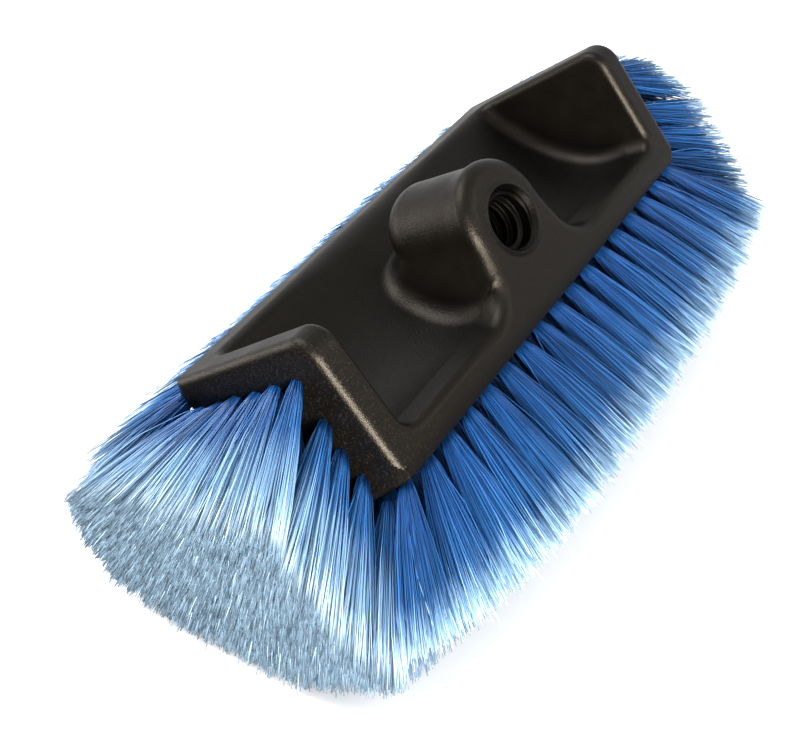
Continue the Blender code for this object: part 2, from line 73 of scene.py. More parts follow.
def roundAnd(a, b, radius):
    # what lies inside both distances, its outer corner an arc of the radius
    over = np.hypot(np.maximum(radius + a, 0), np.maximum(radius + b, 0))
    return np.minimum(-radius, np.maximum(a, b)) + over


def roundOr(a, b, radius):
    # what lies inside either distance, the corner between them filled by an arc of the radius
    under = np.hypot(np.maximum(radius - a, 0), np.maximum(radius - b, 0))
    return np.maximum(radius, np.minimum(a, b)) - under


def meshFromArrays(name, verts, faceTables, material, normals=None, attributes=None):
    # verts in millimetres, a table of corner numbers for each size of face, and attributes with a number
    # for each vert
    mesh = bpy.data.meshes.new(name)
    sizes = np.concatenate([np.full(len(table), table.shape[1]) for table in faceTables])
    corners = np.concatenate([table.ravel() for table in faceTables])
    mesh.vertices.add(len(verts))
    mesh.vertices.foreach_set("co", (verts * millimetre).astype(np.float32).ravel())
    mesh.loops.add(len(corners))
    mesh.loops.foreach_set("vertex_index", corners.astype(np.int32))
    mesh.polygons.add(len(sizes))
    mesh.polygons.foreach_set("loop_start", (np.cumsum(sizes) - sizes).astype(np.int32))
    mesh.polygons.foreach_set("use_smooth", np.ones(len(sizes), dtype=bool))
    mesh.update(calc_edges=True)
    for title, values in (attributes or {}).items():
        layer = mesh.attributes.new(title, "FLOAT", "POINT")
        layer.data.foreach_set("value", values.astype(np.float32))
    if normals is not None:
        mesh.normals_split_custom_set_from_vertices(normals.astype(np.float32))
    mesh.materials.append(material)
    piece = bpy.data.objects.new(name, mesh)
    bpy.context.scene.collection.objects.link(piece)
    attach(piece, "root")
    return piece


# Materials: colours are linear, noise scales are per metre, and the grain's depth and the limits along the
# block of the painted glints are in metres
plasticLook = {
    "colour": (0.0012, 0.0010, 0.0008, 1),
    # a pale colour painted on the grain's peaks as glints, kept to the near end by the two limits below
    "paintedGlint": (0.016, 0.013, 0.008, 1),
    "tint": (1.0, 0.89, 0.76, 1),
    "roughness": 0.31,
    "specular": 0.11,
    "glintFrom": -0.092,
    "glintUpTo": -0.070,
    "grainScale": 1600.0,
    "grainDetail": 3,
    "grainRoughness": 0.65,
    "grainStrength": 0.8,
    "grainDepth": 0.00022,
    "peaksFrom": 0.56,
    "peaksUpTo": 0.78,
    "patchScale": 90,
    "patchDetail": 5,
    "patchFrom": 0.3,
    "patchUpTo": 0.7,
    "glossier": 0.05,
    "duller": 0.07,
}
bristleLook = {
    "rootColour": (0.010, 0.072, 0.25, 1),
    "middleColour": (0.021, 0.112, 0.31, 1),
    "paleColour": (0.21, 0.37, 0.55, 1),
    "tipColour": (0.42, 0.55, 0.66, 1),
    # painted shade: a greyer colour that darkens the trimmed tips
    "cutShadeColour": (0.100, 0.161, 0.217, 1),
    "stops": (0.12, 0.55, 0.92, 1.12),
    "streak": 0.30,
    "cutShadeFrom": 0.93,
    "cutShadeUpTo": 1.0,
    "darkest": 0.40,
    "brightest": 1.65,
    "roughness": 0.42,
    "specular": 0.28,
}


def newMaterial(name):
    # a material of nodes, its tree and its surface shader
    material = bpy.data.materials.new(name)
    material.use_nodes = True
    tree = material.node_tree
    return material, tree, tree.nodes["Principled BSDF"]


def mouldedPlastic():
    # near-black satin plastic: a fine noise raises the grain and pales its peaks at the near end as painted
    # glints, and a wide one varies the gloss
    material, tree, shader = newMaterial("mouldedBlackPlastic")
    look = plasticLook
    shader.inputs["Specular Tint"].default_value = look["tint"]
    shader.inputs["Specular IOR Level"].default_value = look["specular"]
    place = tree.nodes.new("ShaderNodeTexCoord")
    grain = tree.nodes.new("ShaderNodeTexNoise")
    grain.inputs["Scale"].default_value = look["grainScale"]
    grain.inputs["Detail"].default_value = look["grainDetail"]
    grain.inputs["Roughness"].default_value = look["grainRoughness"]
    bump = tree.nodes.new("ShaderNodeBump")
    bump.inputs["Strength"].default_value = look["grainStrength"]
    bump.inputs["Distance"].default_value = look["grainDepth"]
    tree.links.new(place.outputs["Object"], grain.inputs["Vector"])
    tree.links.new(grain.outputs["Fac"], bump.inputs["Height"])
    tree.links.new(bump.outputs["Normal"], shader.inputs["Normal"])
    peaks = tree.nodes.new("ShaderNodeMapRange")
    peaks.inputs["From Min"].default_value = look["peaksFrom"]
    peaks.inputs["From Max"].default_value = look["peaksUpTo"]
    colour = tree.nodes.new("ShaderNodeMix")
    colour.data_type = "RGBA"
    colour.inputs["A"].default_value = look["colour"]
    colour.inputs["B"].default_value = look["paintedGlint"]
    # the pale peaks, painted glints, stay on the near end
    axes = tree.nodes.new("ShaderNodeSeparateXYZ")
    glintZone = tree.nodes.new("ShaderNodeMapRange")
    glintZone.inputs["From Min"].default_value = look["glintUpTo"]
    glintZone.inputs["From Max"].default_value = look["glintFrom"]
    both = tree.nodes.new("ShaderNodeMath")
    both.operation = "MULTIPLY"
    tree.links.new(place.outputs["Object"], axes.inputs["Vector"])
    tree.links.new(axes.outputs["X"], glintZone.inputs["Value"])
    tree.links.new(grain.outputs["Fac"], peaks.inputs["Value"])
    tree.links.new(peaks.outputs["Result"], both.inputs[0])
    tree.links.new(glintZone.outputs["Result"], both.inputs[1])
    tree.links.new(both.outputs["Value"], colour.inputs["Factor"])
    tree.links.new(colour.outputs["Result"], shader.inputs["Base Color"])
    patches = tree.nodes.new("ShaderNodeTexNoise")
    patches.inputs["Scale"].default_value = look["patchScale"]
    patches.inputs["Detail"].default_value = look["patchDetail"]
    spread = tree.nodes.new("ShaderNodeMapRange")
    spread.inputs["From Min"].default_value = look["patchFrom"]
    spread.inputs["From Max"].default_value = look["patchUpTo"]
    spread.inputs["To Min"].default_value = look["roughness"] - look["glossier"]
    spread.inputs["To Max"].default_value = look["roughness"] + look["duller"]
    tree.links.new(place.outputs["Object"], patches.inputs["Vector"])
    tree.links.new(patches.outputs["Fac"], spread.inputs["Value"])
    tree.links.new(spread.outputs["Result"], shader.inputs["Roughness"])
    return material


def blueBristle():
    # blue at the root, pale near the tip and darker with painted shade where it is cut: a ramp over the
    # piece's own along attribute, moved a little by each filament's tint, which also sets its brightness
    material, tree, shader = newMaterial("blueBristle")
    look = bristleLook
    along = tree.nodes.new("ShaderNodeAttribute")
    along.attribute_name = "along"
    tint = tree.nodes.new("ShaderNodeAttribute")
    tint.attribute_name = "tint"
    shift = tree.nodes.new("ShaderNodeMath")
    shift.operation = "MULTIPLY_ADD"
    shift.inputs[1].default_value = look["streak"]
    tree.links.new(tint.outputs["Fac"], shift.inputs[0])
    tree.links.new(along.outputs["Fac"], shift.inputs[2])
    fit = tree.nodes.new("ShaderNodeMath")
    fit.operation = "DIVIDE"
    fit.inputs[1].default_value = 1 + look["streak"]
    tree.links.new(shift.outputs["Value"], fit.inputs[0])
    ramp = tree.nodes.new("ShaderNodeValToRGB")
    ramp.color_ramp.interpolation = "EASE"
    keys = ("rootColour", "middleColour", "paleColour", "tipColour")
    while len(ramp.color_ramp.elements) < len(keys):
        ramp.color_ramp.elements.new(0.5)
    for element, stop, key in zip(ramp.color_ramp.elements, look["stops"], keys):
        element.position = stop / (1 + look["streak"])
        element.color = look[key]
    tree.links.new(fit.outputs["Value"], ramp.inputs["Fac"])
    # painted shade: the last part of each filament turns to the greyer cut colour
    ending = tree.nodes.new("ShaderNodeMapRange")
    ending.inputs["From Min"].default_value = look["cutShadeFrom"]
    ending.inputs["From Max"].default_value = look["cutShadeUpTo"]
    tree.links.new(along.outputs["Fac"], ending.inputs["Value"])
    cut = tree.nodes.new("ShaderNodeMix")
    cut.data_type = "RGBA"
    cut.inputs["B"].default_value = look["cutShadeColour"]
    tree.links.new(ending.outputs["Result"], cut.inputs["Factor"])
    tree.links.new(ramp.outputs["Color"], cut.inputs["A"])
    # the tint sets the brightness, and so carries the painted shade of the darker rows
    value = tree.nodes.new("ShaderNodeMapRange")
    value.inputs["To Min"].default_value = look["darkest"]
    value.inputs["To Max"].default_value = look["brightest"]
    brighten = tree.nodes.new("ShaderNodeHueSaturation")
    tree.links.new(tint.outputs["Fac"], value.inputs["Value"])
    tree.links.new(value.outputs["Result"], brighten.inputs["Value"])
    tree.links.new(cut.outputs["Result"], brighten.inputs["Color"])
    tree.links.new(brighten.outputs["Color"], shader.inputs["Base Color"])
    shader.inputs["Roughness"].default_value = look["roughness"]
    shader.inputs["Specular IOR Level"].default_value = look["specular"]
    return material


plasticMaterial = mouldedPlastic()
bristleMaterial = blueBristle()
print("materials")

# The hollow between the gable walls and the boss in it, in millimetres
troughForm = {
    "wall": 12.0,
    "offset": -7.0,
    "floor": 16.2,
    "rearRadius": 69.0,
    "frontRadius": 41.0,
    "fillet": 6.0,
    "edgeRadius": 3.2,
    "frontBand": 9.7,
    "ledgeAngle": 38.5,
    "ledgeOverlap": 6.0,
}
bossForm = {
    "flangeRise": 2.2,
    "barrelRise": 6.8,
    "flangeRadius": 21.0,
    "waistRun": 13.0,
    "waistRadius": 18.8,
    "barrelRadius": 18.3,
    "barrelLength": 35.0,
    "noseLength": 15.5,
    "legDraft": 15.0,
    "legEase": 6.0,
    "noseDraft": 20.0,
    "crownFrom": 4.0,
    "edgeRadius": 6.3,
    "softReach": 50.0,
    "softRun": 24.0,
    "frontFoot": 11.0,
    "rearFoot": 6.0,
    "nearHalf": 45.0,
    "nearLow": 55.0,
    "far": 50.0,
    "searchBefore": -30.0,
    "searchBeyond": 25.0,
    "halvings": 18,
}
# The collar's profile is out from the mouth's radius and down from the face, the bottom's is radius and
# depth past the socket's depth
socketForm = {
    "mouthRadius": 12.2,
    "boreRadius": 10.6,
    "mouthDepth": 1.5,
    "depth": 36.0,
    "threadPitch": 5.08,
    "threadDepth": 1.9,
    "crestHeight": 1.25,
    "crestFall": 7.5,
    "fadeFrom": 0.4,
    "fadeRun": 2.0,
    "shell": 0.44,
    "shellFrom": 2.3,
    "shellBeyond": 1.2,
    "collar": (
        (1.7, 1.9), (1.7, 0.05), (1.45, -0.06), (0.55, -0.1),
        (0.2, -0.3), (-0.1, -0.3), (-0.35, 0.05), (-1.3, 1.2),
    ),
    "bottom": ((6.36, 0.3), (0.3, 0.5), (0.3, 1.2), (8.832, 1.25)),
    "clearance": 0.5,
    "endClearance": 2.0,
    "aroundCount": 72,
    "depthCount": 150,
}


def blockOutside(x, y, z):
    # two roof planes square to each other, upright sides and ends, slanting skirts and a flat underside
    form = blockForm
    frontRoof = (y - ridgePoint[1]) * -intoSocket[1] + (z - ridgePoint[2]) * -intoSocket[2]
    rearRoof = (y - ridgePoint[1]) * upFront[1] + (z - ridgePoint[2]) * upFront[2]
    roof = roundAnd(frontRoof, rearRoof, form["ridgeRadius"])
    ends = np.abs(x) - halfLength
    sides = np.abs(y) - halfWidth
    skirtRise = form["rim"] - form["rimLand"] - form["underside"]
    slant = math.hypot(skirtRise, form["skirtRun"])
    landHeight = form["rim"] - form["rimLand"]
    skirt = (sides * skirtRise - (z - landHeight) * form["skirtRun"]) / slant
    under = form["underside"] - z
    shape = np.maximum(roundAnd(roof, ends, form["endRadius"]), roundAnd(sides, ends, form["cornerRadius"]))
    shape = np.maximum(shape, roundAnd(roof, sides, form["rimRadius"]))
    shape = np.maximum(shape, roundAnd(skirt, under, form["skirtRadius"]))
    shape = np.maximum(shape, roundAnd(skirt, ends, form["endRadius"]))
    return shape, frontRoof


def troughAir(x, y, z):
    # the air of two arcs that share their lowest line and of a ledge before them, kept between the walls
    form = troughForm
    floor = blockForm["underside"] + form["floor"]
    rear = np.hypot(y - form["offset"], z - floor - form["rearRadius"]) - form["rearRadius"]
    front = np.hypot(y - form["offset"], z - floor - form["frontRadius"]) - form["frontRadius"]
    air = np.where(y > form["offset"], rear, front)
    turn = math.radians(form["ledgeAngle"])
    startY = form["offset"] - form["frontRadius"] * math.sin(turn)
    startZ = floor + form["frontRadius"] * (1 - math.cos(turn))
    crest = ridgePoint - upFront * (blockForm["frontRoof"] - form["frontBand"])
    run, rise = startY - crest[1], crest[2] - startZ
    ledge = ((y - startY) * -rise + (z - startZ) * -run) / math.hypot(run, rise)
    air = np.minimum(air, np.maximum(ledge, y - startY - form["ledgeOverlap"]))
    inner = np.abs(x) - halfLength + form["wall"]
    return roundAnd(air, inner, form["fillet"])


def bossRadius(depth):
    # flange at the face, easing by half cosines into the waist and the barrel
    form = bossForm
    toWaist = np.clip(depth / form["waistRun"], 0, 1)
    toBarrel = np.clip((depth - form["waistRun"]) / (form["barrelLength"] - form["waistRun"]), 0, 1)
    flange = (form["flangeRadius"] - form["waistRadius"]) * (1 + np.cos(np.pi * toWaist)) / 2
    barrel = (form["barrelRadius"] - form["waistRadius"]) * (1 - np.cos(np.pi * toBarrel)) / 2
    return form["waistRadius"] + flange + barrel


def bossRise(depth):
    # how far the centre line lies above the socket's axis, growing evenly from the face to the nose
    share = np.clip(depth / bossForm["barrelLength"], 0, 1)
    return bossForm["flangeRise"] + (bossForm["barrelRise"] - bossForm["flangeRise"]) * share


def bossBody(x, y, z):
    # a bell on a rising centre line: half round above it, drafted legs below, an elliptic nose behind
    form = bossForm
    s = (y - socketMouth[1]) * intoSocket[1] + (z - socketMouth[2]) * intoSocket[2]
    u = (y - socketMouth[1]) * upFront[1] + (z - socketMouth[2]) * upFront[2]
    faceTilt = -math.atan2(upFront[1], upFront[2])
    noseTilt = math.radians(form["noseDraft"])
    full = form["barrelLength"] + form["noseLength"]
    low = np.full(s.shape, form["searchBefore"])
    high = np.full(s.shape, full + form["searchBeyond"])
    for _ in range(form["halvings"]):  # halving finds the depth whose leg line passes through the point
        depth = (low + high) / 2
        tilt = faceTilt + (noseTilt - faceTilt) * np.clip(depth / full, 0, 1)
        axisY = socketMouth[1] + intoSocket[1] * depth + upFront[1] * bossRise(depth)
        axisZ = socketMouth[2] + intoSocket[2] * depth + upFront[2] * bossRise(depth)
        side = (y - axisY) * np.cos(tilt) + (z - axisZ) * np.sin(tilt)
        low, high = np.where(side > 0, depth, low), np.where(side > 0, high, depth)
    legDepth = (low + high) / 2
    tilt = faceTilt + (noseTilt - faceTilt) * np.clip(legDepth / full, 0, 1)
    axisY = socketMouth[1] + intoSocket[1] * legDepth + upFront[1] * bossRise(legDepth)
    axisZ = socketMouth[2] + intoSocket[2] * legDepth + upFront[2] * bossRise(legDepth)
    down = (y - axisY) * np.sin(tilt) - (z - axisZ) * np.cos(tilt)
    above = u > bossRise(s)
    depth = np.where(above, s, legDepth)
    across = np.where(above, np.hypot(x, u - bossRise(s)), np.abs(x))
    draft = math.tan(math.radians(form["legDraft"]))
    leg = np.maximum(down, 0)
    reach = bossRadius(depth) + np.where(above, 0, leg**2 / (leg + form["legEase"]) * draft)
    past = np.maximum(depth - form["barrelLength"], 0) / form["noseLength"]
    barrel = across - reach
    scale = reach + (form["noseLength"] - reach) * np.clip(past, 0, 1)
    nose = (np.hypot(across / reach, past) - 1) * scale
    return np.where(past > 0, nose, barrel), s, u


def blockDistance(points):
    # distance from the moulded block's surface, negative inside it: the outside less the trough's air,
    # with the boss added on a rounded foot and the socket taken out
    form = bossForm
    x, y, z = points.T
    outside, frontRoof = blockOutside(x, y, z)
    solidFloor = -troughAir(x, y, z)
    near = (np.abs(x) < form["nearHalf"]) & (z > form["nearLow"])
    boss = np.full(len(x), form["far"])
    s = np.full(len(x), -form["far"])
    u = np.full(len(x), -form["far"])
    boss[near], s[near], u[near] = bossBody(x[near], y[near], z[near])
    foot = form["frontFoot"] + (form["rearFoot"] - form["frontFoot"]) * np.clip(s / form["waistRun"], 0, 1)
    beside = np.clip((form["softReach"] - np.abs(x)) / form["softRun"], 0, 1)
    edge = troughForm["edgeRadius"] + (form["edgeRadius"] - troughForm["edgeRadius"]) * beside
    shape = roundAnd(outside, roundOr(solidFloor, boss, foot), edge)
    crown = roundAnd(boss, np.maximum(frontRoof, form["crownFrom"] - u), edge)
    shape = np.minimum(shape, crown)
    bore = np.hypot(x, (y - socketMouth[1]) * upFront[1] + (z - socketMouth[2]) * upFront[2])
    radius = np.where(s < socketForm["mouthDepth"], socketForm["mouthRadius"], socketForm["boreRadius"])
    side = bore - radius - socketForm["clearance"]
    hole = np.maximum(side, s - socketForm["depth"] - socketForm["endClearance"])
    return np.maximum(shape, -hole)


def surfaceNet(distance, low, high, step, parts=8):
    # one vertex in each grid cell that the surface crosses, one face round each grid edge that it cuts
    counts = np.ceil((np.array(high) - np.array(low)) / step).astype(int) + 1
    axes = [low[a] + step * np.arange(counts[a]) for a in range(3)]
    grid = np.stack(np.meshgrid(*axes, indexing="ij"), -1).reshape(-1, 3)
    values = np.concatenate([distance(part) for part in np.array_split(grid, parts)]).reshape(counts)
    inside = values < 0
    cells = counts - 1
    total, hits = np.zeros((*cells, 3)), np.zeros(cells)
    for axis in range(3):
        others = [a for a in range(3) if a != axis]
        for da in (0, 1):
            for db in (0, 1):
                first = [slice(0, c) for c in cells]
                first[others[0]] = slice(da, cells[others[0]] + da)
                first[others[1]] = slice(db, cells[others[1]] + db)
                second = list(first)
                second[axis] = slice(1, cells[axis] + 1)
                a, b = values[tuple(first)], values[tuple(second)]
                crossing = (a < 0) != (b < 0)
                share = np.where(crossing, a / np.where(crossing, a - b, 1), 0)
                offset = np.zeros((*cells, 3))
                offset[..., axis] = share
                offset[..., others[0]] = da
                offset[..., others[1]] = db
                total += offset * crossing[..., None]
                hits += crossing
    used = hits > 0
    number = np.full(cells, -1)
    number[used] = np.arange(used.sum())
    verts = np.array(low) + step * (np.argwhere(used) + total[used] / hits[used][:, None])
    quads = []
    for axis in range(3):
        b, c = (axis + 1) % 3, (axis + 2) % 3
        first = [slice(1, cells[a]) for a in range(3)]
        first[axis] = slice(0, cells[axis])
        second = list(first)
        second[axis] = slice(1, cells[axis] + 1)
        a0, a1 = inside[tuple(first)], inside[tuple(second)]
        for sign, cut in ((1, a0 & ~a1), (-1, ~a0 & a1)):
            at = np.argwhere(cut)
            at += [0 if a == axis else 1 for a in range(3)]
            ring = []
            for db, dc in ((0, 0), (-1, 0), (-1, -1), (0, -1))[::sign]:
                cell = at.copy()
                cell[:, b] += db
                cell[:, c] += dc
                ring.append(number[tuple(cell.T)])
            quads.append(np.stack(ring, 1))
    return verts, np.concatenate(quads)


def slopeOf(distance, points, step=0.05):
    # the distance's rate of change along each axis, from a step to either side
    steps = np.eye(3) * step
    return np.stack([(distance(points + e) - distance(points - e)) / (2 * step) for e in steps], 1)


def settle(distance, verts, faces, rounds, ease=0.5, limit=0.4):
    # each vertex eases towards its neighbours' middle along the surface, then drops back onto it
    edges = np.concatenate([faces[:, [k, (k + 1) % 4]] for k in range(4)])
    for turn in range(rounds):
        slope = slopeOf(distance, verts)
        size = np.linalg.norm(slope, axis=1, keepdims=True) + 1e-9
        normal = slope / size
        verts = verts - normal * np.clip(distance(verts)[:, None] / size, -limit, limit)
        if turn == rounds - 1:
            break
        total = np.zeros_like(verts)
        for a in range(3):
            total[:, a] = np.bincount(edges[:, 0], verts[edges[:, 1], a], len(verts))
        count = np.bincount(edges[:, 0], minlength=len(verts))[:, None]
        drift = total / count - verts
        verts = verts + ease * (drift - normal * (drift * normal).sum(1, keepdims=True))
    slope = slopeOf(distance, verts)
    return verts, slope / (np.linalg.norm(slope, axis=1, keepdims=True) + 1e-9)


def makeBlock():
    # the block's distance field meshed on a fine grid, with the field's own slope as its normals
    form = blockForm
    low = np.array([-halfLength, -halfWidth, form["underside"]]) - form["marginLow"]
    high = np.array([halfLength, halfWidth, ridgePoint[2]]) + form["marginHigh"]
    verts, faces = surfaceNet(blockDistance, low, high, form["gridStep"])
    verts, normals = settle(blockDistance, verts, faces, form["settleRounds"])
    piece = meshFromArrays("mouldedBlock", verts, [faces], plasticMaterial, normals)
    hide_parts("brush_block")
    print("block", len(faces), "faces")
    return piece


def makeSocketThread():
    # a profile turned about the socket's axis, its bore drawn in along a helix to make the thread
    form = socketForm
    depths = np.linspace(form["mouthDepth"], form["depth"], form["depthCount"])
    turn = np.linspace(0, 2 * np.pi, form["aroundCount"], endpoint=False)
    phase = (depths[:, None] / form["threadPitch"] - turn[None, :] / (2 * np.pi)) % 1
    crest = np.clip(form["crestHeight"] - np.abs(phase - 0.5) * form["crestFall"], 0, 1)
    crest = crest * crest * (3 - 2 * crest)
    fade = np.clip((depths - form["mouthDepth"] - form["fadeFrom"]) / form["fadeRun"], 0, 1)[:, None]
    bore = form["boreRadius"] - form["threadDepth"] * crest * fade
    shellRadius = form["boreRadius"] + form["shell"]
    before = [(shellRadius, form["depth"] + form["shellBeyond"]), (shellRadius, form["shellFrom"])]
    before += [(form["mouthRadius"] + out, down) for out, down in form["collar"]]
    after = [(size, form["depth"] + beyond) for size, beyond in form["bottom"]]
    before, after = np.array(before), np.array(after)
    even = np.ones(form["aroundCount"])
    radius = np.concatenate([np.outer(before[:, 0], even), bore, np.outer(after[:, 0], even)])
    place = np.outer(np.concatenate([before[:, 1], depths, after[:, 1]]), even)
    across = radius * np.cos(turn)
    upward = radius * np.sin(turn)
    verts = (
        socketMouth
        + across[..., None] * np.array([1.0, 0, 0])
        + upward[..., None] * upFront
        + place[..., None] * intoSocket
    ).reshape(-1, 3)
    rows, columns = radius.shape
    row = np.arange(rows)[:, None]
    nextRow = (row + 1) % rows
    column = np.arange(columns)[None, :]
    nextColumn = (column + 1) % columns
    corners = [
        row * columns + column,
        nextRow * columns + column,
        nextRow * columns + nextColumn,
        row * columns + nextColumn,
    ]
    faces = np.stack(corners, -1).reshape(-1, 4)
    meshFromArrays("socketThread", verts, [faces], plasticMaterial)
    print("socket thread", len(faces), "faces")


# Tufts: where they stand, how they fan, and how their filaments lie, in millimetres and degrees
tuftForm = {
    "holeRadius": 2.35,
    "pitch": 12.15,
    "sideTufts": 17,
    "leftYaw": 54.0,
    "rightYaw": 30.0,
    "yawReach": 1.05,
    "openingPower": 0.74,
    "tipShare": 0.5,
    "jitter": 0.7,
    "sway": 0.6,
    "strayShare": 0.025,
    "straySway": 2.0,
    "strayJitter": 3.0,
    "strayTint": 0.95,
    "rootBlur": 0.25,
    "wisps": 16,
    "wispSpread": 0.6,
    "wispLean": 1.5,
    "wispTint": 0.4,
    "filamentWidth": 0.18,
    "taper": 0.3,
    "lowest": 0.35,
    "crossing": (0.31, 0.52, 0.79),
    "steps": (0, 0.09, 0.38, 0.70, 1),
}
# Rows along the sides: inset down the skirt, drop below level, trimmed length, filaments in a tuft, shade,
# the painted shade that darkens a row's filaments, most on the lower rows seen in the gaps under the upper
# ones, how far rag shortens them by chance, and paling, the power that sets how late they turn pale
sideForm = {
    "frontUpper": {
        "inset": 6.5, "drop": 36, "trim": 53,
        "perTuft": 340, "shade": 1.0, "rag": 0.07, "paling": 2.4,
    },
    "frontLower": {
        "inset": 16.5, "drop": 55, "trim": 58,
        "perTuft": 200, "shade": 0.35, "rag": 0.07, "paling": 2.4,
    },
    "rearUpper": {
        "inset": 6.5, "drop": 41, "trim": 47,
        "perTuft": 260, "shade": 0.9, "rag": 0.14, "paling": 1.2,
    },
    "rearLower": {
        "inset": 16.5, "drop": 55, "trim": 54,
        "perTuft": 200, "shade": 0.5, "rag": 0.10, "paling": 1.2,
    },
    "shared": {"spread": 6.5, "lastAlong": 0.92, "farTrim": 0.09},
}
# Rows at the ends: left and right are the outlines of the trimmed faces, y and z at the tip plane, from
# the photograph through the fitted camera
endForm = {
    "tipPlane": 144.5,
    "yaw": 51.0,
    "fanCentre": 6.4,
    "left": (
        (66, 48), (41, 61), (21, 62), (-5, 70), (-32, 78), (-33, 60), (-42, 54), (-46, 45),
        (-57, 33), (-72, 35), (-50, 17), (-26, 2), (-2, 0.6), (33, 1), (57, 7), (67, 30),
    ),
    "right": (
        (66, 48), (45, 66), (20, 80), (-5, 86), (-19, 86), (-31, 80), (-43, 72), (-52, 58),
        (-62, 44), (-68, 32), (-62, 12), (-26, 2), (-2, 0.6), (33, 1), (57, 7), (67, 30),
    ),
    "filaments": 13500,
    "leftLook": {"rag": 0.006, "paling": 0.72, "lastAlong": 1.0, "width": 0.19},
    "rightLook": {"rag": 0.012, "paling": 2.4, "lastAlong": 0.92, "width": 0.19},
    "aimReach": (-68, 64),
    "tries": 3,
    "clumpColumns": 200,
    "clumpSize": 1.8,
    "clumpBlur": 0.25,
    "clumpDrift": 0.3,
    "clumpPull": 0.6,
    "clumpDepth": 0.65,
    "clumpTint": 0.6,
    "filamentDepth": 0.075,
    "gableDrop": 28.0,
    "rearInset": 13.8,
    "rearFrom": 16.0,
    "rearRun": 66.0,
    "rearTufts": 7,
    "rearCorner": (3.5, 3.4, 2.2),
    "frontGable": ((-19.7, 83.5), (-24.3, 72.9), (-31.2, 64.3), (-39.0, 57.4)),
    "frontAims": ((-36, 60), (-45, 49), (-54, 38), (-65, 27)),
    "innerDrops": (38.5, 43.5, 49.0),
    "innerTufts": (2, 4, 6),
    "innerPlace": (-1.5, 76.0),
    "innerStep": (3.3, -8.5),
    "innerPitch": 10.6,
}


def tuftRow(start, finish, count):
    # places at even steps along a straight line
    share = np.linspace(0, 1, count)[:, None]
    return np.array(start) + share * (np.array(finish) - np.array(start))


def inHole(generator, count):
    # places spread evenly over a unit disc
    radius = np.sqrt(generator.random(count))
    turn = generator.random(count) * 2 * np.pi
    return radius * np.cos(turn), radius * np.sin(turn)


def growFilaments(name, centre, rootOffset, middleTip, tip, tint, nodes, generator, look):
    # each point lies on the tuft's own straight line, off it by the root's offset at first and by the
    # tip's at last, and each filament is a closed tube of three sides round its points
    count = len(centre)
    steps = np.array(look.get("steps", tuftForm["steps"]))
    segments = len(steps) - 1
    stray = generator.random(count)[:, None] < tuftForm["strayShare"]
    sway = generator.normal(0, 1, (count, 3)) * np.where(stray, tuftForm["straySway"], tuftForm["sway"])
    jitter = tuftForm["jitter"] * np.where(stray, tuftForm["strayJitter"], 1.0)
    tip = tip + generator.normal(0, 1, (count, 3)) * jitter
    ragged = 1 - np.abs(generator.normal(0, look["rag"], count))[:, None]
    shapes = []
    for step in steps:
        t = step * ragged
        opened = t ** tuftForm["openingPower"]
        line = centre + (middleTip - centre) * t
        offset = rootOffset * (1 - opened) + (tip - middleTip) * opened
        shapes.append(line + offset + sway * np.sin(np.pi * t))
    path = np.stack(shapes, 1)
    path[:, :, 2] = np.maximum(path[:, :, 2], tuftForm["lowest"])
    tangent = path[:, 1:] - path[:, :-1]
    tangent = np.concatenate([tangent, tangent[:, -1:]], 1)
    tangent /= np.linalg.norm(tangent, axis=2, keepdims=True) + 1e-9
    sideWay = np.cross(tangent, np.array(tuftForm["crossing"]))
    sideWay /= np.linalg.norm(sideWay, axis=2, keepdims=True) + 1e-9
    upWay = np.cross(tangent, sideWay)
    thickness = look.get("width", tuftForm["filamentWidth"]) * (1 - tuftForm["taper"] * steps**3)
    corners = []
    for k in range(3):
        angle = 2 * np.pi * k / 3
        outward = sideWay * math.cos(angle) + upWay * math.sin(angle)
        corners.append(path + thickness[None, :, None] * outward)
    verts = np.stack(corners, 2).reshape(-1, 3)
    base = (np.arange(count) * (segments + 1) * 3)[:, None, None]
    level = (np.arange(segments) * 3)[None, :, None]
    corner = np.arange(3)[None, None, :]
    following = (corner + 1) % 3
    low = base + level
    quads = np.stack([low + corner, low + following, low + 3 + following, low + 3 + corner], -1)
    first = base[:, 0] + np.array([[2, 1, 0]])
    last = base[:, 0] + 3 * segments + np.array([[0, 1, 2]])
    along = look["lastAlong"] * steps[None, :, None] ** look["paling"]
    along = np.broadcast_to(along, (count, segments + 1, 3)).reshape(-1)
    shade = np.where(stray[:, 0], tuftForm["strayTint"], tint)
    shade = np.broadcast_to(shade[:, None, None], (count, segments + 1, 3)).reshape(-1)
    tables = [quads.reshape(-1, 4), first, last]
    attributes = {"along": along, "tint": shade}
    piece = meshFromArrays(name, verts, tables, bristleMaterial, None, attributes)
    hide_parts(*nodes)
    print(name, count, "filaments")


